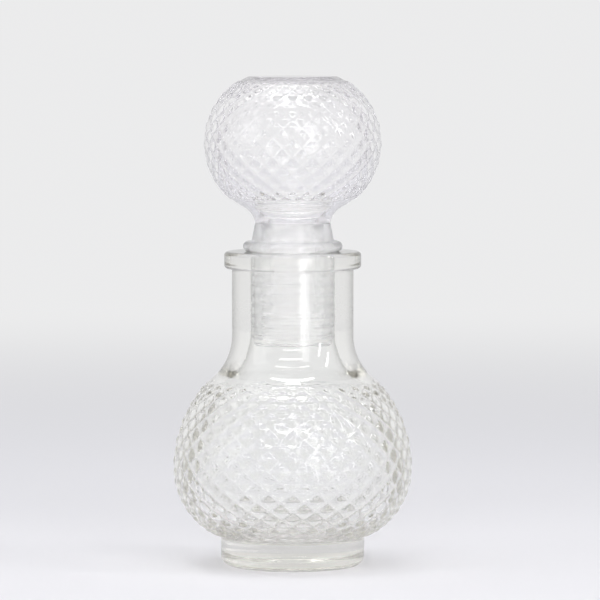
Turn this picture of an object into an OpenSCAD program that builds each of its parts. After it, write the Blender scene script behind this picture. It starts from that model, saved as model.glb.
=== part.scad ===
// Small glass decanter with a hollow ball stopper that sits in a ribbed plastic plug.
// Millimetres, +Z up. The origin is the middle of the ring that the bottle stands on.

/* [Bottle foot] */
// Outside diameter of the round foot
foot_d = 33.6; // [31:0.2:36]
// Radius of the foot's rounded lower edge
foot_edge_r = 2.6; // [1:0.1:3.2]
// Width of the flat ring that touches the table
foot_ring_w = 2.6; // [1.5:0.1:3.5]
// Radius of the hollow curve between foot and bulb
foot_curve_r = 0.8; // [0.5:0.1:1.2]
// Rise of the hollow in the middle of the base
kick_h = 1.6; // [0.6:0.1:2.6]

/* [Bottle bulb] */
// Diameter over the studs at the widest place
bulb_d = 56; // [54:0.5:59]
// Height of the widest place above the table
bulb_z = 23; // [21.5:0.5:26]
// Radius of the outline below the widest place
bulb_low_r = 17.7; // [16.6:0.1:18.6]
// Radius of the outline above the widest place
bulb_top_r = 29.6; // [28.6:0.2:31]
// Thickness of the glass from the stud tips to the inside
bulb_wall = 3; // [2.6:0.1:3.6]

/* [Bottle neck] */
// Height of the lip's top above the table
bottle_h = 73.6; // [70:0.2:80]
// Outside diameter of the neck
neck_d = 28.4; // [26.5:0.2:29.6]
// Radius of the hollow curve between neck and bulb, outside
shoulder_r = 13; // [11:0.5:16]
// Radius of the curve between bore and bulb, inside
throat_curve_r = 15; // [10:0.5:16]
// Diameter of the smooth bore that takes the plug
bore_d = 19.6; // [18.8:0.1:20.6]
// Outside diameter of the lip
lip_d = 32; // [31:0.2:34]
// Height of the lip
lip_h = 4; // [3.2:0.1:5]
// Radius of the lip's rounded edges
lip_edge_r = 0.9; // [0.4:0.1:1.4]

/* [Bottle studs] */
// Height of a stud from the grooves to its tip
stud_h = 0.6; // [0.4:0.05:0.8]
// Number of studs in one turn
studs_round = 30; // [24:1:36]
// Number of half rows between the lower and the upper border
stud_rows = 18; // [14:2:22]
// Width of the plain glass between the foot's curve and the studs
studs_low_gap = 1.6; // [0.8:0.1:3]
// Width of the plain glass between the studs and the shoulder's curve
studs_top_gap = 2.2; // [1:0.1:4]

/* [Stopper ball] */
// Diameter of the ball over the studs
ball_d = 41.5; // [39:0.5:44]
// Radius of the ball's side outline
ball_side_r = 17.2; // [16.4:0.1:18]
// Height from the ball's widest place to its flat top
ball_top_h = 15.5; // [14.8:0.1:15.9]
// Radius of the rounded edge of the flat top
ball_edge_r = 0.8; // [0.4:0.1:1.2]
// Thickness of the glass from the stud tips to the inside
ball_wall = 2.6; // [2.3:0.1:3]
// Thickness of the flat top
ball_top_wall = 2.6; // [2.2:0.1:3.2]
// Height of a stud from the grooves to its tip
ball_stud_h = 0.5; // [0.35:0.05:0.65]
// Number of studs in one turn
ball_studs_round = 28; // [22:1:34]
// Number of half rows between the lower and the upper border
ball_stud_rows = 16; // [12:2:20]
// Width of the plain glass between the waist's curve and the studs
ball_low_gap = 3.8; // [3:0.1:5]
// Width of the plain glass between the studs and the edge of the flat top
ball_top_gap = 2.4; // [1.6:0.1:3.4]

/* [Stopper shank] */
// Diameter of the waist under the ball
waist_d = 17.6; // [17:0.1:18.2]
// Radius of the hollow curve between waist and ball
waist_curve_r = 3; // [2:0.1:4]
// Height of the straight glass between plug rim and curve
waist_h = 0.4; // [0.2:0.1:1.5]
// Outside diameter of the shank inside the plug
shank_d = 14.6; // [13.8:0.1:15.4]
// Length of the shank below the waist
shank_l = 21.5; // [17:0.5:23]
// Diameter of the hole that runs up the shank into the ball
shank_hole_d = 10.4; // [9:0.1:11]
// Radius of the curve between that hole and the hollow of the ball
shank_curve_r = 11; // [6:0.5:12]

/* [Plug] */
// Diameter of the flange that rests on the lip
flange_d = 23.2; // [22:0.1:25]
// Thickness of the flange
flange_h = 2.4; // [1.8:0.1:3]
// Height of the collar above the flange
collar_h = 4.4; // [3.4:0.1:6]
// Diameter of the collar where it stands on the flange
collar_d = 19.1; // [18.6:0.1:20]
// Length of the tube below the flange
plug_l = 21.8; // [20.5:0.1:24]
// Outside diameter of the tube between the ribs
plug_tube_d = 18.2; // [17.6:0.1:18.6]
// Radius of the tube's rounded lower edge
plug_edge_r = 1.2; // [0.6:0.1:1.6]
// Thickness of the closed lower end
plug_floor = 1.6; // [1:0.1:2.4]
// Number of sealing ribs
rib_count = 7; // [4:1:8]
// Distance from one rib to the next
rib_pitch = 2.4; // [2.2:0.05:2.5]
// Height of the lowest rib above the tube's lower end
rib_first = 2.4; // [2:0.1:3]
// Height of a rib's cross-section along the tube
rib_w = 1.3; // [0.9:0.1:1.6]
// Radius of a rib's rounded tip
rib_tip_r = 0.3; // [0.2:0.05:0.4]

/* [Fits] */
// Gap between the ribs and the bottle's bore, on the radius
rib_gap = 0.1; // [0.05:0.01:0.2]
// Gap between the shank and its socket in the plug, on the radius
shank_gap = 0.08; // [0.05:0.01:0.1]

/* [Hidden] */

// Segments of a full turn in the preview of round shapes
$fn = 120;
// Plain glass lies this far below the stud tips
plain_drop = 0.3;
// The border of a studded band lies this far below the stud tips
border_drop = 0.05;
// The hidden core under a studded band lies this far below the grooves
core_sink = 0.35;
// Angle over which the core dips under the edge of a studded band
dip_a = 1.6;
// Rings of the hidden inner side of a studded band
root_rings = 8;
// Part of the way from a stud's tip to its grooves where the blunt top ends
blunt_end = 0.5;
// Part of a stud's height that is left there
blunt_left = 0.7;
// Small rounding of edges
soft_edge = 0.4;

foot_r = foot_d / 2;
bore_r = bore_d / 2;
neck_r = neck_d / 2;
lip_r = lip_d / 2;
shank_r = shank_d / 2;
socket_r = shank_r + shank_gap;
waist_r = waist_d / 2;

// Centre distances of the outline arcs from the axis
bulb_low_c = bulb_d / 2 - bulb_low_r;
bulb_top_c = bulb_d / 2 - bulb_top_r;
ball_c = ball_d / 2 - ball_side_r;

// Angles on the outline arcs at which foot curve, shoulder, waist curve and top edge begin
foot_a = tangent_angle(bulb_low_c, bulb_low_r - plain_drop, foot_r, foot_curve_r);
shoulder_a = tangent_angle(bulb_top_c, bulb_top_r - plain_drop, neck_r, shoulder_r);
waist_a = tangent_angle(ball_c, ball_side_r - plain_drop, waist_r, waist_curve_r);
top_edge_a = asin((ball_top_h - ball_edge_r) / (ball_side_r - plain_drop - ball_edge_r));

// Angles below and above the widest place between which the studs lie
studs_low_a = foot_a - arc_angle(studs_low_gap, bulb_low_r);
studs_top_a = shoulder_a - arc_angle(studs_top_gap, bulb_top_r);
ball_low_a = waist_a - arc_angle(ball_low_gap, ball_side_r);
ball_top_a = top_edge_a - arc_angle(ball_top_gap, ball_side_r);

// Heights of the stacked pieces
rim_z = bottle_h + flange_h + collar_h;
waist_z = rim_z + waist_h;
ball_z = waist_z + tangent_rise(ball_c, ball_side_r - plain_drop, waist_r, waist_curve_r);
ball_top_z = ball_z + ball_top_h;
shank_end_z = rim_z - shank_l;
plug_end_z = bottle_h - plug_l;

// Points of an arc in the radius and height plane
function arc(c, z, r, a0, a1, n) =
    [for (i = [0:n]) let (a = a0 + (a1 - a0) * i / n) [c + r * cos(a), z + r * sin(a)]];

// Angle that a length covers on an arc of radius r
function arc_angle(length, r) = length / r * 180 / PI;

// Height between the centre of a bulging arc and the centre of a hollow arc of radius
// blend_r that touches it and the upright line at distance line_r from the axis
function tangent_rise(c, r, line_r, blend_r) =
    sqrt(pow(r + blend_r, 2) - pow(line_r + blend_r - c, 2));

// Angle on the bulging arc at which the two arcs touch
function tangent_angle(c, r, line_r, blend_r) =
    acos((line_r + blend_r - c) / (r + blend_r));

// Stud rows are spaced like a sphere's loxodromes, so every stud keeps the same shape:
// spread() turns an outline angle into distance over radius, unspread() turns it back
function tanh(x) = (exp(2 * x) - 1) / (exp(2 * x) + 1);
function artanh(x) = ln((1 + x) / (1 - x)) / 2;
function spread(c, r, a) =
    2 * r / sqrt(r * r - c * c) * artanh(sqrt((r - c) / (r + c)) * tan(a / 2));
function unspread(c, r, q) =
    2 * atan(sqrt((r + c) / (r - c)) * tanh(q * sqrt(r * r - c * c) / (2 * r)));

// Point of the outline at angle a, drop below the stud tips
// An outline is [low centre, low radius, top centre, top radius, height]
function outline_point(o, a, drop) =
    let (c = a < 0 ? o[0] : o[2], r = (a < 0 ? o[1] : o[3]) - drop)
    [c + r * cos(a), o[4] + r * sin(a)];
function row_angle(o, q) = q < 0 ? unspread(o[0], o[1], q) : unspread(o[2], o[3], q);
function turned(p, a) = [p[0] * cos(a), p[0] * sin(a), p[1]];

bulb_outline = [bulb_low_c, bulb_low_r, bulb_top_c, bulb_top_r, bulb_z];
ball_outline = [ball_c, ball_side_r, ball_c, ball_side_r, ball_z];

// Core outline through a studded band: plain glass dips under the band at both borders
function banded_core(o, low_a, top_a, sink, n) = concat(
    [outline_point(o, -low_a + dip_a / 4, plain_drop)],
    [for (i = [0:n]) let (a = -low_a + dip_a + (low_a + top_a - 2 * dip_a) * i / n)
        outline_point(o, a, sink)],
    [outline_point(o, top_a - dip_a / 4, plain_drop)]);

// Ring of diamond studs: blunt pyramids between two families of crossing grooves.
// Rows of groove crossings run from border to border, every other row half a stud on.
// A stud's four corners are crossings. Between its tip and each groove lies a brow, where
// the blunt top turns into the steeper flank.
module stud_band(o, low_a, top_a, count, rows, h, wall) {
    step = 360 / count;
    q0 = spread(o[0], o[1], -low_a);
    q1 = spread(o[2], o[3], top_a);
    function row(k) = row_angle(o, q0 + (q1 - q0) * k / rows);
    root_drop = (h + core_sink + wall) / 2;
    crossings = [for (k = [0:rows], i = [0:count - 1])
        turned(outline_point(o, row(k), k == 0 || k == rows ? border_drop : h),
            (i + (k % 2) / 2) * step)];
    tips = [for (k = [1:rows - 1], i = [0:count - 1])
        turned(outline_point(o, row(k), 0), (i + 0.5 + (k % 2) / 2) * step)];
    brows = [for (k = [1:rows - 1], i = [0:count - 1], side = [[-1, 1], [1, 1], [1, -1], [-1, -1]])
        turned(outline_point(o, row(k + side[0] * blunt_end / 2), h * (1 - blunt_left)),
            (i + 0.5 + (k % 2) / 2 + side[1] * blunt_end / 4) * step)];
    roots = [for (j = [0:root_rings], i = [0:count - 1])
        let (end = j == 0 || j == root_rings,
            a = row_angle(o, q0 + (q1 - q0) * j / root_rings),
            edge = outline_point(o, a, border_drop),
            flat = [edge[0] - (root_drop - border_drop) / cos(a), edge[1]])
        turned(end ? flat : outline_point(o, a, root_drop), i * step)];
    n_cross = (rows + 1) * count;
    n_tips = (rows - 1) * count;
    function cross(k, i) = k * count + i % count;
    function tip(k, i) = n_cross + (k - 1) * count + i;
    function brow(k, i, n) = n_cross + n_tips + ((k - 1) * count + i) * 4 + n % 4;
    function root(j, i) = n_cross + 5 * n_tips + j * count + i % count;
    studs = [for (k = [1:rows - 1], i = [0:count - 1])
        let (s = k % 2, corner = [cross(k - 1, i + s), cross(k, i + 1), cross(k + 1, i + s), cross(k, i)])
        for (n = [0:3]) let (here = brow(k, i, n), next = brow(k, i, n + 1), far = corner[(n + 1) % 4])
            each [[corner[n], here, far], [here, next, far], [here, tip(k, i), next]]];
    low_border = [for (i = [0:count - 1]) [cross(0, i), cross(1, i), cross(0, i + 1)]];
    top_border = [for (i = [0:count - 1]) let (s = rows % 2)
        [cross(rows, i), cross(rows, i + 1), cross(rows - 1, i + s)]];
    low_cap = [for (i = [0:count - 1])
        each [[cross(0, i), cross(0, i + 1), root(0, i)], [cross(0, i + 1), root(0, i + 1), root(0, i)]]];
    top_cap = [for (i = [0:count - 1])
        each [[cross(rows, i), root(root_rings, i), cross(rows, i + 1)],
            [cross(rows, i + 1), root(root_rings, i), root(root_rings, i + 1)]]];
    inside = [for (j = [0:root_rings - 1], i = [0:count - 1])
        each [[root(j, i), root(j, i + 1), root(j + 1, i + 1)],
            [root(j, i), root(j + 1, i + 1), root(j + 1, i)]]];
    polyhedron(points = concat(crossings, tips, brows, roots),
        faces = concat(studs, low_border, top_border, low_cap, top_cap, inside));
}

// Half of the bottle's section: base, foot, bulb, shoulder, neck and lip, then the inside
function bottle_section() =
    let (plain_low = bulb_low_r - plain_drop,
        plain_top = bulb_top_r - plain_drop,
        ring_out = foot_r - foot_edge_r,
        ring_in = ring_out - foot_ring_w,
        kick_r = (ring_in * ring_in + kick_h * kick_h) / (2 * kick_h),
        kick_a = asin(ring_in / kick_r),
        foot_curve_z = bulb_z - tangent_rise(bulb_low_c, plain_low, foot_r, foot_curve_r),
        shoulder_z = bulb_z + tangent_rise(bulb_top_c, plain_top, neck_r, shoulder_r),
        lip_z = bottle_h - lip_h,
        inner_top = bulb_top_r - bulb_wall,
        inner_low = bulb_low_r - bulb_wall,
        inner_a = tangent_angle(bulb_top_c, inner_top, bore_r, throat_curve_r),
        inner_z = bulb_z + tangent_rise(bulb_top_c, inner_top, bore_r, throat_curve_r))
    concat(
        arc(0, kick_h - kick_r, kick_r, 90, 90 - kick_a, 6),
        arc(ring_out, foot_edge_r, foot_edge_r, -90, 0, 6),
        arc(foot_r + foot_curve_r, foot_curve_z, foot_curve_r, 180, 180 - foot_a, 4),
        arc(bulb_low_c, bulb_z, plain_low, -foot_a, -studs_low_a, 2),
        banded_core(bulb_outline, studs_low_a, studs_top_a, stud_h + core_sink, 14),
        arc(bulb_top_c, bulb_z, plain_top, studs_top_a, shoulder_a, 2),
        arc(neck_r + shoulder_r, shoulder_z, shoulder_r, 180 + shoulder_a, 180, 10),
        arc(neck_r + soft_edge, lip_z - soft_edge, soft_edge, 180, 90, 3),
        arc(lip_r - lip_edge_r, lip_z + lip_edge_r, lip_edge_r, -90, 0, 4),
        arc(lip_r - lip_edge_r, bottle_h - lip_edge_r, lip_edge_r, 0, 90, 4),
        arc(bore_r + soft_edge, bottle_h - soft_edge, soft_edge, 90, 180, 3),
        arc(bore_r + throat_curve_r, inner_z, throat_curve_r, 180, 180 + inner_a, 10),
        arc(bulb_top_c, bulb_z, inner_top, inner_a, 0, 10),
        arc(bulb_low_c, bulb_z, inner_low, 0, -90, 12),
        [[0, bulb_z - inner_low]]);

// Half of the stopper's section: shank, waist, ball and flat top, then the hollow
function stopper_section() =
    let (plain = ball_side_r - plain_drop,
        edge_c = ball_c + (plain - ball_edge_r) * cos(top_edge_a),
        inner = ball_side_r - ball_wall,
        hole_r = shank_hole_d / 2,
        hole_a = tangent_angle(ball_c, inner, hole_r, shank_curve_r),
        hole_z = ball_z - tangent_rise(ball_c, inner, hole_r, shank_curve_r),
        roof_h = ball_top_h - ball_top_wall,
        roof_a = asin(roof_h / inner))
    concat(
        arc(hole_r + soft_edge, shank_end_z + soft_edge, soft_edge, 180, 270, 3),
        arc(shank_r - soft_edge, shank_end_z + soft_edge, soft_edge, -90, 0, 3),
        [[shank_r, rim_z], [waist_r, rim_z]],
        arc(waist_r + waist_curve_r, waist_z, waist_curve_r, 180, 180 - waist_a, 6),
        arc(ball_c, ball_z, plain, -waist_a, -ball_low_a, 3),
        banded_core(ball_outline, ball_low_a, ball_top_a, ball_stud_h + core_sink, 12),
        arc(ball_c, ball_z, plain, ball_top_a, top_edge_a, 2),
        arc(edge_c, ball_top_z - ball_edge_r, ball_edge_r, top_edge_a, 90, 4),
        [[0, ball_top_z]],
        [[0, ball_z + roof_h]],
        arc(ball_c, ball_z, inner, roof_a, -hole_a, 20),
        arc(hole_r + shank_curve_r, hole_z, shank_curve_r, 180 - hole_a, 180, 8));

// Half of the plug's section: closed end, ribbed tube, flange and tapered collar
function plug_section() =
    let (tube_r = plug_tube_d / 2,
        rib_r = bore_r - rib_gap,
        flange_r = flange_d / 2,
        round_r = flange_h / 2,
        floor_z = plug_end_z + plug_floor)
    concat(
        [[0, plug_end_z]],
        arc(tube_r - plug_edge_r, plug_end_z + plug_edge_r, plug_edge_r, -90, 0, 4),
        [for (i = [0:rib_count - 1]) let (z = plug_end_z + rib_first + i * rib_pitch)
            each concat([[tube_r, z - rib_w / 2]], arc(rib_r - rib_tip_r, z, rib_tip_r, -60, 60, 4),
                [[tube_r, z + rib_w / 2]])],
        [[tube_r, bottle_h]],
        arc(flange_r - round_r, bottle_h + round_r, round_r, -90, 90, 10),
        [[collar_d / 2, bottle_h + flange_h], [waist_r, rim_z], [socket_r, rim_z]],
        arc(socket_r - soft_edge, floor_z + soft_edge, soft_edge, 0, -90, 3),
        [[0, floor_z]]);

module glass_bottle() {
    color([0.86, 0.92, 0.9, 0.5]) {
        rotate_extrude() polygon(bottle_section());
        stud_band(bulb_outline, studs_low_a, studs_top_a, studs_round, stud_rows, stud_h, bulb_wall);
    }
}

module glass_stopper() {
    color([0.88, 0.88, 0.93, 0.5]) {
        rotate_extrude() polygon(stopper_section());
        stud_band(ball_outline, ball_low_a, ball_top_a, ball_studs_round, ball_stud_rows,
            ball_stud_h, ball_wall);
    }
}

module seal_plug() {
    color([0.93, 0.94, 0.92, 0.7]) rotate_extrude() polygon(plug_section());
}

glass_bottle();
glass_stopper();
seal_plug();
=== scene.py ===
import math
import bpy
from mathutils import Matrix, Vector


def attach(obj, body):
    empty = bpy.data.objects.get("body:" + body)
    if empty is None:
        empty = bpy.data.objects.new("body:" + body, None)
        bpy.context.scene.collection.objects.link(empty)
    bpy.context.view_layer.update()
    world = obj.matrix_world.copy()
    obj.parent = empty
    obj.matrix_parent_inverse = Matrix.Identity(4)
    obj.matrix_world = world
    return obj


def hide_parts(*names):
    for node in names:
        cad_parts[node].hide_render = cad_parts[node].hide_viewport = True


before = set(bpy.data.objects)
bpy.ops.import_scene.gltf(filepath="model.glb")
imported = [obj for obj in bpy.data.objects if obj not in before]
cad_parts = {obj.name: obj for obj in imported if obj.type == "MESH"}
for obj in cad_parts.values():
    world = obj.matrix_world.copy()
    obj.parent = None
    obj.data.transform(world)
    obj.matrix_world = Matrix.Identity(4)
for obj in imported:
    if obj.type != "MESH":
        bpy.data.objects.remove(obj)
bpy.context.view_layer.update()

mm = 0.001


# working helpers, used by every piece

drawing = {
    "startSize": 0.01,      # m, the plane that shrinks to a section line's first point
    "shortStep": 0.001,     # mm, a shorter step along a section line is left out
    "support": 0.25,        # mm, from a straight stretch's end to the point that keeps it flat
    "mergeGap": 0.00001,    # m, the seam and the poles are closed across it
    "arcSlack": 0.00002,    # m, how far off its arc a point of the studded band may lie
    "rowSlack": 0.05,       # degrees, how far off its row
}


def deselectAll():
    for obj in bpy.context.selected_objects:
        obj.select_set(False)


def arcPoints(centreR, centreZ, radius, startAngle, endAngle, steps):
    # points of an arc in the radius and height plane, angles in degrees
    points = []
    for i in range(steps + 1):
        a = math.radians(startAngle + (endAngle - startAngle) * i / steps)
        points.append((centreR + radius * math.cos(a), centreZ + radius * math.sin(a)))
    return points


def straight(start, end, support=drawing["support"]):
    # a straight stretch with a point near each end, which keeps its shading flat
    length = math.dist(start, end)
    t = support / length
    near = (start[0] + (end[0] - start[0]) * t, start[1] + (end[1] - start[1]) * t)
    far = (end[0] - (end[0] - start[0]) * t, end[1] - (end[1] - start[1]) * t)
    return [start, near, far, end]


def tangentRise(centreR, radius, lineR, blendR):
    # height between a bulging arc's centre and a hollow arc that joins it to an upright line
    return math.sqrt((radius + blendR) ** 2 - (lineR + blendR - centreR) ** 2)


def tangentAngle(centreR, radius, lineR, blendR):
    # the angle at which that hollow arc touches the bulging one
    return math.degrees(math.acos((lineR + blendR - centreR) / (radius + blendR)))


def arcAngle(length, radius):
    return math.degrees(length / radius)


def capBlend(centreR, radius, height, blend):
    # centre and angle of a small arc between a bulging arc and the flat that cuts it off
    reach = math.sqrt((radius - blend) ** 2 - (height - blend) ** 2)
    return centreR + reach, math.degrees(math.atan2(height - blend, reach))


def spread(c, r, angle):
    # distance over radius along an arc from its widest place, which spaces the stud rows
    half = math.tan(math.radians(angle) / 2)
    return 2 * r / math.sqrt(r * r - c * c) * math.atanh(math.sqrt((r - c) / (r + c)) * half)


def unspread(c, r, q):
    # the angle at which that distance is reached
    t = math.tanh(q * math.sqrt(r * r - c * c) / (2 * r))
    return math.degrees(2 * math.atan(math.sqrt((r + c) / (r - c)) * t))


def rowAngles(outline, lowAngle, topAngle, rows):
    low, top = outline["low"], outline["top"]
    q0 = spread(low[0], low[1], -lowAngle)
    q1 = spread(top[0], top[1], topAngle)
    angles = []
    for k in range(rows + 1):
        q = q0 + (q1 - q0) * k / rows
        arc = low if q < 0 else top
        angles.append(unspread(arc[0], arc[1], q))
    return angles


def outlinePoint(outline, angle, drop):
    # a point of the bulging outline, a little under its surface
    c, r = outline["low"] if angle < 0 else outline["top"]
    a = math.radians(angle)
    return (c + (r - drop) * math.cos(a), outline["z"] + (r - drop) * math.sin(a))


def drawSection(name, points):
    # a section line, drawn point by point with extrude from a single vertex, in millimetres
    deselectAll()
    bpy.ops.mesh.primitive_plane_add(size=drawing["startSize"], location=(0, 0, 0))
    obj = bpy.context.object
    obj.name = name
    obj.data.name = name
    bpy.ops.object.mode_set(mode="EDIT")
    bpy.ops.mesh.select_mode(type="VERT")
    bpy.ops.mesh.select_all(action="SELECT")
    bpy.ops.mesh.merge(type="CENTER")
    bpy.ops.transform.translate(value=(points[0][0] * mm, 0, points[0][1] * mm))
    for before, after in zip(points, points[1:]):
        if math.dist(before, after) < drawing["shortStep"]:
            continue
        step = ((after[0] - before[0]) * mm, 0, (after[1] - before[1]) * mm)
        bpy.ops.mesh.extrude_region_move(TRANSFORM_OT_translate={"value": step})
    bpy.ops.object.mode_set(mode="OBJECT")
    return obj


def spinSection(obj, columns):
    # the section line swept once round the upright axis, seam and poles closed
    bpy.ops.object.mode_set(mode="EDIT")
    bpy.ops.mesh.select_mode(type="VERT")
    bpy.ops.mesh.select_all(action="SELECT")
    bpy.ops.mesh.spin(steps=columns, angle=2 * math.pi, center=(0, 0, 0), axis=(0, 0, 1))
    bpy.ops.mesh.select_all(action="SELECT")
    bpy.ops.mesh.remove_doubles(threshold=drawing["mergeGap"])
    bpy.ops.mesh.normals_make_consistent(inside=False)
    bpy.ops.object.mode_set(mode="OBJECT")


def smoothMesh(obj):
    deselectAll()
    obj.select_set(True)
    bpy.context.view_layer.objects.active = obj
    bpy.ops.object.shade_smooth()


# studs, used by the bottle and the stopper

def findBand(obj, outline, angles, drop, columns):
    # row and column of each vertex in the studded band
    band = {}
    z0 = outline["z"] * mm
    for v in obj.data.vertices:
        r = math.hypot(v.co.x, v.co.y)
        c, radius = outline["low"] if v.co.z < z0 else outline["top"]
        away = math.hypot(r - c * mm, v.co.z - z0)
        if abs(away - (radius - drop) * mm) > drawing["arcSlack"]:
            continue
        angle = math.degrees(math.atan2(v.co.z - z0, r - c * mm))
        row = min(range(len(angles)), key=lambda k: abs(angles[k] - angle))
        if abs(angles[row] - angle) < drawing["rowSlack"]:
            column = round(math.atan2(v.co.y, v.co.x) / (2 * math.pi) * columns) % columns
            band[v.index] = (row, column)
    return band


def onGroove(mark, period):
    return (mark[0] + mark[1]) % period == 0 or (mark[0] - mark[1]) % period == 0


def raiseStuds(obj, outline, angles, band, look, period):
    # grooves cross the band both ways, and each diamond between them swells into a stud
    for index, (row, column) in band.items():
        if row in (0, len(angles) - 1):
            drop = look["borderDrop"]
        else:
            a = abs(2 * ((row + column) % period) / period - 1)
            b = abs(2 * ((row - column) % period) / period - 1)
            swell = (1 - a ** look["studRound"]) * (1 - b ** look["studRound"])
            drop = look["studH"] * (1 - swell)
        r, z = outlinePoint(outline, angles[row], drop)
        v = obj.data.vertices[index]
        turn = math.atan2(v.co.y, v.co.x)
        v.co = (r * mm * math.cos(turn), r * mm * math.sin(turn), z * mm)


def selectFaces(obj, wanted):
    bpy.ops.object.mode_set(mode="EDIT")
    bpy.ops.mesh.select_mode(type="FACE")
    bpy.ops.mesh.select_all(action="DESELECT")
    bpy.ops.object.mode_set(mode="OBJECT")
    for index in wanted:
        obj.data.polygons[index].select = True
    bpy.ops.object.mode_set(mode="EDIT")


def splitAlongGrooves(obj, band, period):
    # a quad that a groove crosses from corner to corner is cut in two along it
    for method, corners in (("FIXED", (0, 2)), ("FIXED_ALTERNATE", (1, 3))):
        wanted = []
        for face in obj.data.polygons:
            marks = [band.get(v) for v in face.vertices]
            if len(marks) == 4 and None not in marks:
                if all(onGroove(marks[i], period) for i in corners):
                    wanted.append(face.index)
        selectFaces(obj, wanted)
        bpy.ops.mesh.quads_convert_to_tris(quad_method=method)
        bpy.ops.object.mode_set(mode="OBJECT")


def makeStudded(name, points, outline, angles, look):
    # a section line spun round, with its band raised into studs
    period = 2 * look["fine"]
    columns = period * look["studs"]
    obj = drawSection(name, points)
    spinSection(obj, columns)
    band = findBand(obj, outline, angles, look["studH"], columns)
    raiseStuds(obj, outline, angles, band, look, period)
    splitAlongGrooves(obj, band, period)
    smoothMesh(obj)
    return obj


# shared shader pieces

numberSocket = "NodeSocketFloat"
colourSocket = "NodeSocketColor"
vectorSocket = "NodeSocketVector"

ripple = {
    "waveDetail": 1.5,
    "skinDetail": 2.0,
    "skinFiner": 9,         # times finer than the waves
    "skinAmount": 0.15,     # height, next to the waves' height of 1
}


def feed(tree, source, socket):
    # another node's output is linked, and a number or a colour is set
    if isinstance(source, bpy.types.NodeSocket):
        tree.links.new(source, socket)
    else:
        socket.default_value = source


def addMath(tree, operation, *sources):
    step = tree.nodes.new("ShaderNodeMath")
    step.operation = operation
    for i, source in enumerate(sources):
        feed(tree, source, step.inputs[i])
    return step.outputs["Value"]


def addFade(tree, value, start, end, lowest=0.0, smooth=True):
    # from lowest at the start value to 1 at the end value
    fade = tree.nodes.new("ShaderNodeMapRange")
    if smooth:
        fade.interpolation_type = "SMOOTHSTEP"
    feed(tree, value, fade.inputs["Value"])
    feed(tree, start, fade.inputs["From Min"])
    feed(tree, end, fade.inputs["From Max"])
    feed(tree, lowest, fade.inputs["To Min"])
    return fade.outputs["Result"]


def addMix(tree, factor, under, over):
    mix = tree.nodes.new("ShaderNodeMix")
    mix.data_type = "RGBA"
    feed(tree, factor, mix.inputs["Factor"])
    feed(tree, under, mix.inputs["A"])
    feed(tree, over, mix.inputs["B"])
    return mix.outputs["Result"]


def addNoise(tree, place, scale, detail):
    noise = tree.nodes.new("ShaderNodeTexNoise")
    feed(tree, place, noise.inputs["Vector"])
    feed(tree, scale, noise.inputs["Scale"])
    feed(tree, detail, noise.inputs["Detail"])
    return noise.outputs["Fac"]


def addSplit(tree, vector):
    # the three parts of a place or a direction
    parts = tree.nodes.new("ShaderNodeSeparateXYZ")
    feed(tree, vector, parts.inputs["Vector"])
    return parts.outputs


def setInputs(node, values):
    for label, value in values.items():
        node.inputs[label].default_value = value


def startTree(owner, outputKind):
    # an empty node tree with only its output
    owner.use_nodes = True
    tree = owner.node_tree
    tree.nodes.clear()
    return tree, tree.nodes.new(outputKind)


def newGroup(name, inputs, outputs):
    tree = bpy.data.node_groups.new(name, "ShaderNodeTree")
    for label, kind in inputs:
        tree.interface.new_socket(name=label, in_out="INPUT", socket_type=kind)
    for label, kind in outputs:
        tree.interface.new_socket(name=label, in_out="OUTPUT", socket_type=kind)
    given = tree.nodes.new("NodeGroupInput").outputs
    result = tree.nodes.new("NodeGroupOutput").inputs
    return tree, given, result


def makeRippleGroup():
    # slow waves of hand-cooled glass, with a finer orange-peel skin on top
    tree, given, result = newGroup(
        "moulded ripple",
        [("Vector", vectorSocket), ("Wave Scale", numberSocket),
         ("Skin Scale", numberSocket), ("Skin Amount", numberSocket)],
        [("Height", numberSocket), ("Mottle", numberSocket)])
    wave = addNoise(tree, given["Vector"], given["Wave Scale"], ripple["waveDetail"])
    skin = addNoise(tree, given["Vector"], given["Skin Scale"], ripple["skinDetail"])
    height = addMath(tree, "MULTIPLY_ADD", skin, given["Skin Amount"], wave)
    feed(tree, height, result["Height"])
    feed(tree, wave, result["Mottle"])
    return tree


def makePaintedEdgeShadeGroup():
    # painted edge shade: the base colour darkens where clear walls turn away, and less so on the
    # studs than on plain glass
    tree, given, result = newGroup(
        "painted edge shade",
        [("Vector", vectorSocket), ("Facing", numberSocket), ("Color", colourSocket),
         ("Painted Shade Color", colourSocket), ("Start", numberSocket),
         ("Stud Top", numberSocket), ("Stud Shade Share", numberSocket)],
        [("Color", colourSocket)])
    turned = addFade(tree, given["Facing"], given["Start"], 1.0)
    height = addSplit(tree, given["Vector"])["Z"]
    above = addMath(tree, "GREATER_THAN", height, given["Stud Top"])
    amount = addFade(tree, above, 0.0, 1.0, lowest=given["Stud Shade Share"], smooth=False)
    # painted edge shade: how far the base colour is pulled towards the shade colour
    grey = addMath(tree, "MULTIPLY", turned, amount)
    feed(tree, addMix(tree, grey, given["Color"], given["Painted Shade Color"]), result["Color"])
    return tree


rippleGroup = makeRippleGroup()
paintedEdgeShadeGroup = makePaintedEdgeShadeGroup()


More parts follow.
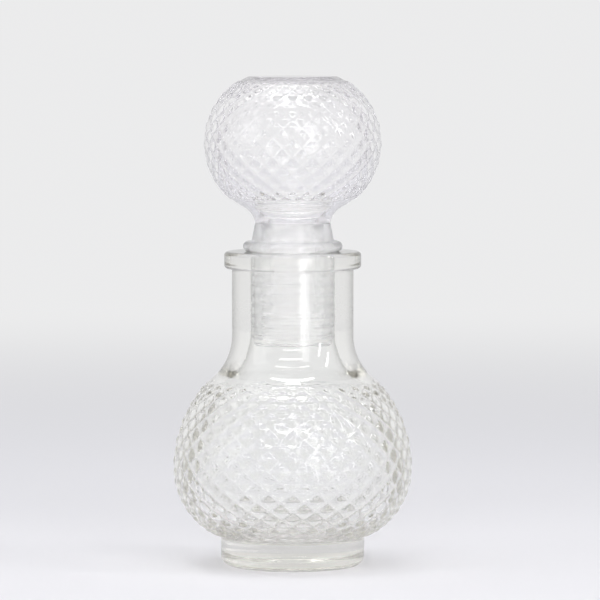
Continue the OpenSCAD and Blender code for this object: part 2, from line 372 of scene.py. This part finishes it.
def makeClearMaterial(name, look):
    # rippled glass or plastic that darkens with depth, with painted edge shade in its base colour
    # where it turns away
    mat = bpy.data.materials.new(name)
    tree, out = startTree(mat, "ShaderNodeOutputMaterial")
    nodes, links = tree.nodes, tree.links
    coords = nodes.new("ShaderNodeTexCoord")
    waves = nodes.new("ShaderNodeGroup")
    waves.node_tree = rippleGroup
    setInputs(waves, {
        "Wave Scale": look["rippleScale"],
        "Skin Scale": look["rippleScale"] * ripple["skinFiner"],
        "Skin Amount": ripple["skinAmount"]})
    tint = addMix(tree, waves.outputs["Mottle"], look["tint"], look["tintDeep"])
    # painted edge shade: Layer Weight darkens the base colour where the surface turns away
    facing = nodes.new("ShaderNodeLayerWeight")
    edge = nodes.new("ShaderNodeGroup")
    edge.node_tree = paintedEdgeShadeGroup
    setInputs(edge, {
        "Painted Shade Color": look["paintedEdgeShade"], "Start": look["paintedShadeStart"],
        "Stud Top": look["studTop"], "Stud Shade Share": look["studShadeShare"]})
    bump = nodes.new("ShaderNodeBump")
    setInputs(bump, {"Distance": look["rippleDistance"]})
    shader = nodes.new("ShaderNodeBsdfPrincipled")
    setInputs(shader, {
        "IOR": look["ior"], "Roughness": look["roughness"],
        "Transmission Weight": look["transmission"]})
    absorb = nodes.new("ShaderNodeVolumeAbsorption")
    setInputs(absorb, {"Color": look["absorb"], "Density": look["absorbDensity"]})
    links.new(coords.outputs["Object"], waves.inputs["Vector"])
    links.new(coords.outputs["Object"], edge.inputs["Vector"])
    links.new(facing.outputs["Facing"], edge.inputs["Facing"])
    links.new(tint, edge.inputs["Color"])
    links.new(edge.outputs["Color"], shader.inputs["Base Color"])
    links.new(waves.outputs["Height"], bump.inputs["Height"])
    links.new(bump.outputs["Normal"], shader.inputs["Normal"])
    links.new(shader.outputs["BSDF"], out.inputs["Surface"])
    links.new(absorb.outputs["Volume"], out.inputs["Volume"])
    return mat


# the bottle

bottle = {
    # in millimetres, and borderGap in degrees
    "height": 73.6,
    "footR": 16.8, "footEdgeR": 2.6, "footRingW": 2.6, "footFillet": 0.8, "kickH": 1.6,
    "bulbR": 28.0, "bulbZ": 23.0, "bulbLowR": 17.7, "bulbTopR": 29.6, "wall": 3.0,
    "neckR": 14.2, "shoulderR": 13.0, "throatCurveR": 15.0, "boreR": 9.8,
    "lipR": 16.0, "lipH": 4.0, "lipEdgeR": 0.9, "softEdge": 0.4,
    "studs": 30, "rows": 18, "studH": 0.6, "lowGap": 1.6, "topGap": 2.2,
    "plainDrop": 0.3, "borderDrop": 0.15, "borderGap": 1.0,
    "fine": 4,              # quads across half a stud
    "studRound": 2.0,       # 1 is a straight-sided stud, and more is rounder
    "glass": {
        "tint": (0.998, 0.999, 0.998, 1), "tintDeep": (0.985, 0.99, 0.985, 1),
        "ior": 1.5, "roughness": 0.0, "transmission": 1.0,
        "rippleScale": 75.0, "rippleDistance": 0.00006,
        "absorb": (0.73, 0.72, 0.67, 1), "absorbDensity": 26.0,
        # painted edge shade: the base colour darkens towards this grey where the walls turn away
        "paintedEdgeShade": (0.03, 0.035, 0.03, 1), "paintedShadeStart": 0.44,
        "studTop": 0.0455, "studShadeShare": 0.26,    # m, and how much of the painted edge shade is left on studs
    },
}


def makeBottle():
    b = bottle
    bulbZ, footR, neckR, lipR = b["bulbZ"], b["footR"], b["neckR"], b["lipR"]
    height, boreR, shoulderR, throatR = b["height"], b["boreR"], b["shoulderR"], b["throatCurveR"]
    soft, edge, fillet, footEdge = b["softEdge"], b["lipEdgeR"], b["footFillet"], b["footEdgeR"]
    outline = {"low": (b["bulbR"] - b["bulbLowR"], b["bulbLowR"]),
               "top": (b["bulbR"] - b["bulbTopR"], b["bulbTopR"]), "z": bulbZ}
    lowC, topC = outline["low"][0], outline["top"][0]
    plainLow = b["bulbLowR"] - b["plainDrop"]
    plainTop = b["bulbTopR"] - b["plainDrop"]
    ringOut = footR - footEdge
    ringIn = ringOut - b["footRingW"]
    kickR = (ringIn ** 2 + b["kickH"] ** 2) / (2 * b["kickH"])
    kickAngle = math.degrees(math.asin(ringIn / kickR))
    joinAngle = tangentAngle(lowC, plainLow, footR, fillet)
    joinZ = bulbZ - tangentRise(lowC, plainLow, footR, fillet)
    shoulderAngle = tangentAngle(topC, plainTop, neckR, shoulderR)
    shoulderZ = bulbZ + tangentRise(topC, plainTop, neckR, shoulderR)
    lipZ = height - b["lipH"]
    innerTop = b["bulbTopR"] - b["wall"]
    innerLow = b["bulbLowR"] - b["wall"]
    innerAngle = tangentAngle(topC, innerTop, boreR, throatR)
    innerZ = bulbZ + tangentRise(topC, innerTop, boreR, throatR)
    lowAngle = joinAngle - arcAngle(b["lowGap"], b["bulbLowR"])
    topAngle = shoulderAngle - arcAngle(b["topGap"], b["bulbTopR"])
    angles = rowAngles(outline, lowAngle, topAngle, b["rows"] * b["fine"])

    # up the outside, from the middle of the hollow under the foot
    points = arcPoints(0, b["kickH"] - kickR, kickR, 90, 90 - kickAngle, steps=8)
    points += straight((ringIn, 0), (ringOut, 0))
    points += arcPoints(ringOut, footEdge, footEdge, -90, 0, steps=8)
    points += straight((footR, footEdge), (footR, joinZ))
    points += arcPoints(footR + fillet, joinZ, fillet, 180, 180 - joinAngle, steps=5)
    points += arcPoints(lowC, bulbZ, plainLow, -joinAngle, -lowAngle - b["borderGap"], steps=3)
    points += [outlinePoint(outline, a, b["studH"]) for a in angles]
    points += arcPoints(topC, bulbZ, plainTop, topAngle + b["borderGap"], shoulderAngle, steps=2)
    points += arcPoints(neckR + shoulderR, shoulderZ, shoulderR,
                        180 + shoulderAngle, 180, steps=14)
    points += straight((neckR, shoulderZ), (neckR, lipZ - soft))
    # round the lip
    points += arcPoints(neckR + soft, lipZ - soft, soft, 180, 90, steps=4)
    points += straight((neckR + soft, lipZ), (lipR - edge, lipZ))
    points += arcPoints(lipR - edge, lipZ + edge, edge, -90, 0, steps=6)
    points += straight((lipR, lipZ + edge), (lipR, height - edge))
    points += arcPoints(lipR - edge, height - edge, edge, 0, 90, steps=6)
    points += straight((lipR - edge, height), (boreR + soft, height))
    points += arcPoints(boreR + soft, height - soft, soft, 90, 180, steps=4)
    # down the inside
    points += straight((boreR, height - soft), (boreR, innerZ))
    points += arcPoints(boreR + throatR, innerZ, throatR, 180, 180 + innerAngle, steps=10)
    points += arcPoints(topC, bulbZ, innerTop, innerAngle, 0, steps=18)
    points += arcPoints(lowC, bulbZ, innerLow, 0, -90, steps=22)
    points += straight((lowC, bulbZ - innerLow), (0, bulbZ - innerLow))
    return makeStudded("bottle_glass_body", points, outline, angles, b)


print("modelling the bottle")
bottleObj = makeBottle()
bottleObj.data.materials.append(makeClearMaterial("clear bottle glass", bottle["glass"]))
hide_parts("glass_bottle")
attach(bottleObj, "bottle")


# the stopper

stopper = {
    # in millimetres, and borderGap in degrees
    "rimZ": 80.4, "ballZ": 98.91, "waistR": 8.8, "waistCurveR": 5.0, "seatEdgeR": 0.15,
    "ballR": 20.75, "sideR": 17.2, "topH": 15.5, "wall": 2.6, "topWall": 2.6,
    "shankR": 7.3, "shankL": 21.5, "holeR": 5.2, "shankCurveR": 11.0,
    "softEdge": 0.4, "topEdgeR": 0.8, "roofEdgeR": 2.0, "endSupport": 0.2,
    "studs": 28, "rows": 16, "studH": 0.34, "lowGap": 3.8, "topGap": 2.4,
    "plainDrop": 0.3, "borderDrop": 0.15, "borderGap": 1.2,
    "fine": 4, "studRound": 2.0,
    "glass": {
        "tint": (0.999, 0.998, 0.999, 1), "tintDeep": (0.99, 0.986, 0.992, 1),
        "ior": 1.5, "roughness": 0.0, "transmission": 1.0,
        "rippleScale": 95.0, "rippleDistance": 0.00005,
        "absorb": (0.72, 0.70, 0.74, 1), "absorbDensity": 12.0,
        # painted edge shade: the base colour darkens towards this grey where the ball turns away
        "paintedEdgeShade": (0.12, 0.115, 0.13, 1), "paintedShadeStart": 0.48,
        "studTop": 0.113, "studShadeShare": 0.5,
    },
}


def makeStopper():
    s = stopper
    shankR, holeR, waistR = s["shankR"], s["holeR"], s["waistR"]
    waistCurve, shankCurve, roofEdge = s["waistCurveR"], s["shankCurveR"], s["roofEdgeR"]
    rimZ, ballZ, soft, seat = s["rimZ"], s["ballZ"], s["softEdge"], s["seatEdgeR"]
    ballC = s["ballR"] - s["sideR"]
    outline = {"low": (ballC, s["sideR"]), "top": (ballC, s["sideR"]), "z": ballZ}
    plain = s["sideR"] - s["plainDrop"]
    waistZ = ballZ - tangentRise(ballC, plain, waistR, waistCurve)
    waistA = tangentAngle(ballC, plain, waistR, waistCurve)
    topZ = ballZ + s["topH"]
    topC, topA = capBlend(ballC, plain, s["topH"], s["topEdgeR"])
    inner = s["sideR"] - s["wall"]
    holeA = tangentAngle(ballC, inner, holeR, shankCurve)
    holeZ = ballZ - tangentRise(ballC, inner, holeR, shankCurve)
    roofH = s["topH"] - s["topWall"]
    roofC, roofA = capBlend(ballC, inner, roofH, roofEdge)
    endZ = rimZ - s["shankL"]
    lowAngle = waistA - arcAngle(s["lowGap"], s["sideR"])
    topAngle = topA - arcAngle(s["topGap"], s["sideR"])
    angles = rowAngles(outline, lowAngle, topAngle, s["rows"] * s["fine"])
    rimA = math.degrees(math.asin((rimZ + seat - waistZ) / waistCurve))  # it ends on the plug
    seatR = waistR + waistCurve * (1 - math.cos(math.radians(rimA)))

    # down the outside, from the middle of the flat top
    points = straight((0, topZ), (topC, topZ))
    points += arcPoints(topC, topZ - s["topEdgeR"], s["topEdgeR"], 90, topA, steps=4)
    points += arcPoints(ballC, ballZ, plain, topA, topAngle + s["borderGap"], steps=3)
    points += [outlinePoint(outline, a, s["studH"]) for a in reversed(angles)]
    points += arcPoints(ballC, ballZ, plain, -lowAngle - s["borderGap"], -waistA, steps=5)
    points += arcPoints(waistR + waistCurve, waistZ, waistCurve,
                        180 - waistA, 180 - rimA, steps=8)
    points += arcPoints(seatR - seat, rimZ + seat, seat, 0, -90, steps=3)
    points += straight((seatR - seat, rimZ), (shankR + seat, rimZ))
    points += arcPoints(shankR + seat, rimZ - seat, seat, 90, 180, steps=3)
    points += straight((shankR, rimZ - seat), (shankR, endZ + soft))
    # round the end of the shank
    points += arcPoints(shankR - soft, endZ + soft, soft, 0, -90, steps=4)
    points += straight((shankR - soft, endZ), (holeR + soft, endZ), s["endSupport"])
    points += arcPoints(holeR + soft, endZ + soft, soft, 270, 180, steps=4)
    # up the inside
    points += straight((holeR, endZ + soft), (holeR, holeZ))
    points += arcPoints(holeR + shankCurve, holeZ, shankCurve, 180, 180 - holeA, steps=8)
    points += arcPoints(ballC, ballZ, inner, -holeA, roofA, steps=40)
    points += arcPoints(roofC, ballZ + roofH - roofEdge, roofEdge, roofA, 90, steps=4)
    points += straight((roofC, ballZ + roofH), (0, ballZ + roofH))
    return makeStudded("stopper_glass_ball", points, outline, angles, s)


print("modelling the stopper")
stopperObj = makeStopper()
stopperObj.data.materials.append(makeClearMaterial("clear stopper glass", stopper["glass"]))
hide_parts("glass_stopper")
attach(stopperObj, "stopper")


# the plug

plug = {
    # in millimetres, and ribTipTurn in degrees
    "lipZ": 73.6, "flangeR": 11.6, "flangeH": 2.4,
    "collarH": 4.4, "collarR": 9.55, "rimR": 8.8, "socketR": 7.38,
    "tubeR": 9.1, "length": 21.8, "floor": 1.6, "endEdgeR": 1.2,
    "ribs": 7, "ribPitch": 2.4, "ribFirst": 2.4, "ribW": 1.3,
    "ribR": 9.7, "ribTipR": 0.3, "ribTipTurn": 60, "ribSupport": 0.12,
    "softEdge": 0.3,
    "footShare": 0.3,       # of the soft edge, how far the collar's foot is rounded inwards
    "columns": 120,
    "plastic": {
        "tint": (0.998, 0.998, 0.998, 1), "tintDeep": (0.992, 0.992, 0.988, 1),
        "ior": 1.45, "roughness": 0.2, "transmission": 0.92,
        "rippleScale": 160.0, "rippleDistance": 0.00002,
        "absorb": (0.95, 0.95, 0.92, 1), "absorbDensity": 1.5,
        # painted edge shade: the base colour darkens towards this grey where the plug turns away
        "paintedEdgeShade": (0.34, 0.35, 0.38, 1), "paintedShadeStart": 0.45,
        "studTop": 0.0736, "studShadeShare": 0.2,     # painted edge shade, weaker inside the bottle's neck
    },
}


def makePlug():
    p = plug
    soft, endR, tipR = p["softEdge"], p["endEdgeR"], p["ribTipR"]
    tubeR, lipZ, socketR = p["tubeR"], p["lipZ"], p["socketR"]
    collarR, rimR, turn = p["collarR"], p["rimR"], p["ribTipTurn"]
    footIn = soft * p["footShare"]
    endZ = lipZ - p["length"]
    floorZ = endZ + p["floor"]
    roundR = p["flangeH"] / 2
    flangeZ = lipZ + p["flangeH"]
    rimZ = flangeZ + p["collarH"]

    # up the outside, rib by rib, from the middle of the closed end
    points = straight((0, endZ), (tubeR - endR, endZ))
    points += arcPoints(tubeR - endR, endZ + endR, endR, -90, 0, steps=6)
    below = endZ + endR
    for i in range(p["ribs"]):
        z = endZ + p["ribFirst"] + i * p["ribPitch"]
        half = p["ribW"] / 2
        points += straight((tubeR, below), (tubeR, z - half), p["ribSupport"])
        points += arcPoints(p["ribR"] - tipR, z, tipR, -turn, turn, steps=6)
        below = z + half
    points += straight((tubeR, below), (tubeR, lipZ))
    # flange and collar
    points += arcPoints(p["flangeR"] - roundR, lipZ + roundR, roundR, -90, 90, steps=12)
    points += [(collarR + soft, flangeZ), (collarR + footIn, flangeZ + footIn)]
    points += straight((collarR, flangeZ + soft), (rimR, rimZ - soft))
    points += arcPoints(rimR - soft, rimZ - soft, soft, 0, 90, steps=4)
    # down the socket
    points += [(socketR + soft, rimZ)]
    points += arcPoints(socketR + soft, rimZ - soft, soft, 90, 180, steps=4)
    points += straight((socketR, rimZ - soft), (socketR, floorZ + soft))
    points += arcPoints(socketR - soft, floorZ + soft, soft, 0, -90, steps=4)
    points += straight((socketR - soft, floorZ), (0, floorZ))
    obj = drawSection("plug_translucent_body", points)
    spinSection(obj, p["columns"])
    smoothMesh(obj)
    return obj


print("modelling the plug")
plugObj = makePlug()
plugObj.data.materials.append(makeClearMaterial("translucent plug plastic", plug["plastic"]))
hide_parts("seal_plug")
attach(plugObj, "plug")


# floor, light and camera

studio = {
    # what is seen behind the bottle, and through it
    "backColour": (0.835, 0.835, 0.84, 1), "backStrength": 1.0,
    "ceilingColour": (1.0, 1.0, 1.0, 1), "ceilingStart": 0.45, "ceilingEnd": 0.8,
    "roomColour": (0.99, 0.99, 0.99, 1), "roomStart": -0.1, "roomEnd": -0.7,
    "sideColour": (0.88, 0.88, 0.88, 1), "sideStart": 0.1, "sideEnd": 0.4,
    # the even light on the bottle
    "fillColour": (0.95, 0.97, 1.0, 1), "fillStrength": 0.65,
    # the floor, which fades into the back a little way off, in metres
    "floorSize": 6.0, "floorColour": (0.725, 0.715, 0.735, 1),
    "floorRoughness": 0.9, "floorSpecular": 0.1,
    "fadeStart": 0.2, "fadeEnd": 0.9, "floorRoomStart": -0.15, "floorRoomEnd": -0.6,
    # the camera, with lens and sensor in millimetres
    "cameraPlace": (0.0017, -1.2, 0.140), "cameraAim": (0.0017, 0.0, 0.0622),
    "lens": 309.0, "sensor": 36.0, "nearClip": 0.01,
    # clear glass needs many steps of light
    "bounces": 32, "glossyBounces": 24, "transmissionBounces": 32, "diffuseBounces": 12,
    "blurGlossy": 0.0,      # the plug is lit through clear glass, not through frosted glass
}

softboxes = {
    # place, aim and size in metres, and power in watts
    "window": ((0.275, -0.59, 0.305), (0, 0, 0.305), (0.15, 0.6), 0.7),
    "window curtain": ((0.28, -0.60, 0.315), (0, 0, 0.315), (0.26, 0.63), 0.4),
    "front strip": ((-0.05, -0.75, 0.6), (0, 0, 0.06), (0.6, 0.06), 1.5),
    "top strip": ((0, -0.1, 0.9), (0, 0, 0.06), (0.6, 0.07), 1.6),
    "right strip": ((0.7, -0.25, 0.5), (0, 0, 0.06), (0.06, 0.4), 1.0),
    "top panel": ((-0.2, 0.1, 0.9), (0, 0, 0.05), (0.7, 0.7), 1.15),
    "left panel": ((-0.8, -0.35, 0.4), (0, 0, 0.06), (0.4, 0.6), 0.95),
}


def seenRays(tree):
    # 1 for what the camera sees, straight or in and through glass, and 0 for the light on things
    path = tree.nodes.new("ShaderNodeLightPath").outputs
    inGlass = addMath(tree, "MAXIMUM", path["Is Glossy Ray"], path["Is Transmission Ray"])
    return addMath(tree, "MAXIMUM", path["Is Camera Ray"], inGlass)


def mixSurfaces(tree, out, factor, under, over):
    mix = tree.nodes.new("ShaderNodeMixShader")
    tree.links.new(factor, mix.inputs["Fac"])
    tree.links.new(under, mix.inputs[1])
    tree.links.new(over, mix.inputs[2])
    tree.links.new(mix.outputs["Shader"], out.inputs["Surface"])


def makeWorld():
    s = studio
    world = bpy.data.worlds.new("pale studio")
    bpy.context.scene.world = world
    tree, out = startTree(world, "ShaderNodeOutputWorld")
    direction = addSplit(tree, tree.nodes.new("ShaderNodeTexCoord").outputs["Generated"])
    up = addFade(tree, direction["Z"], s["ceilingStart"], s["ceilingEnd"], smooth=False)
    seen = addMix(tree, up, s["backColour"], s["ceilingColour"])
    sideways = addMath(tree, "ABSOLUTE", direction["X"])
    toSide = addFade(tree, sideways, s["sideStart"], s["sideEnd"])
    seen = addMix(tree, toSide, seen, s["sideColour"])
    toFront = addFade(tree, direction["Y"], s["roomStart"], s["roomEnd"])
    seen = addMix(tree, toFront, seen, s["roomColour"])
    back = tree.nodes.new("ShaderNodeBackground")
    feed(tree, seen, back.inputs["Color"])
    feed(tree, s["backStrength"], back.inputs["Strength"])
    fill = tree.nodes.new("ShaderNodeBackground")
    setInputs(fill, {"Color": s["fillColour"], "Strength": s["fillStrength"]})
    mixSurfaces(tree, out, seenRays(tree),
                fill.outputs["Background"], back.outputs["Background"])


def makeFloor():
    s = studio
    deselectAll()
    bpy.ops.mesh.primitive_plane_add(size=s["floorSize"], location=(0, 0, 0))
    floor = bpy.context.object
    floor.name = "studio_floor"
    mat = bpy.data.materials.new("pale studio floor")
    tree, out = startTree(mat, "ShaderNodeOutputMaterial")
    place = tree.nodes.new("ShaderNodeTexCoord").outputs["Object"]
    cloth = tree.nodes.new("ShaderNodeBsdfPrincipled")
    setInputs(cloth, {
        "Base Color": s["floorColour"], "Roughness": s["floorRoughness"],
        "Specular IOR Level": s["floorSpecular"]})
    forward = addSplit(tree, place)["Y"]
    toFront = addFade(tree, forward, s["floorRoomStart"], s["floorRoomEnd"], smooth=False)
    glow = tree.nodes.new("ShaderNodeEmission")
    feed(tree, addMix(tree, toFront, s["backColour"], s["roomColour"]), glow.inputs["Color"])
    feed(tree, s["backStrength"], glow.inputs["Strength"])
    distance = tree.nodes.new("ShaderNodeVectorMath")
    distance.operation = "LENGTH"
    feed(tree, place, distance.inputs[0])
    fade = addFade(tree, distance.outputs["Value"], s["fadeStart"], s["fadeEnd"])
    mixSurfaces(tree, out, addMath(tree, "MULTIPLY", fade, seenRays(tree)),
                cloth.outputs["BSDF"], glow.outputs["Emission"])
    floor.data.materials.append(mat)


def placeAimed(name, data, place, aim):
    obj = bpy.data.objects.new(name, data)
    bpy.context.scene.collection.objects.link(obj)
    obj.location = place
    obj.rotation_euler = (Vector(aim) - Vector(place)).to_track_quat("-Z", "Y").to_euler()
    return obj


def makeSoftbox(name, place, aim, size, power):
    light = bpy.data.lights.new(name, "AREA")
    light.shape = "RECTANGLE"
    light.size, light.size_y = size
    light.energy = power
    placeAimed(name, light, place, aim).visible_camera = False


def makeCamera():
    camera = bpy.data.cameras.new("camera")
    camera.lens = studio["lens"]
    camera.sensor_width = studio["sensor"]
    camera.clip_start = studio["nearClip"]
    obj = placeAimed("camera", camera, studio["cameraPlace"], studio["cameraAim"])
    bpy.context.scene.camera = obj


print("setting the studio")
makeWorld()
makeFloor()
for name, settings in softboxes.items():
    makeSoftbox(name, *settings)
makeCamera()
bpy.context.scene.view_settings.view_transform = "Standard"
cycles = bpy.context.scene.cycles
cycles.max_bounces = studio["bounces"]
cycles.glossy_bounces = studio["glossyBounces"]
cycles.transmission_bounces = studio["transmissionBounces"]
cycles.diffuse_bounces = studio["diffuseBounces"]
cycles.blur_glossy = studio["blurGlossy"]
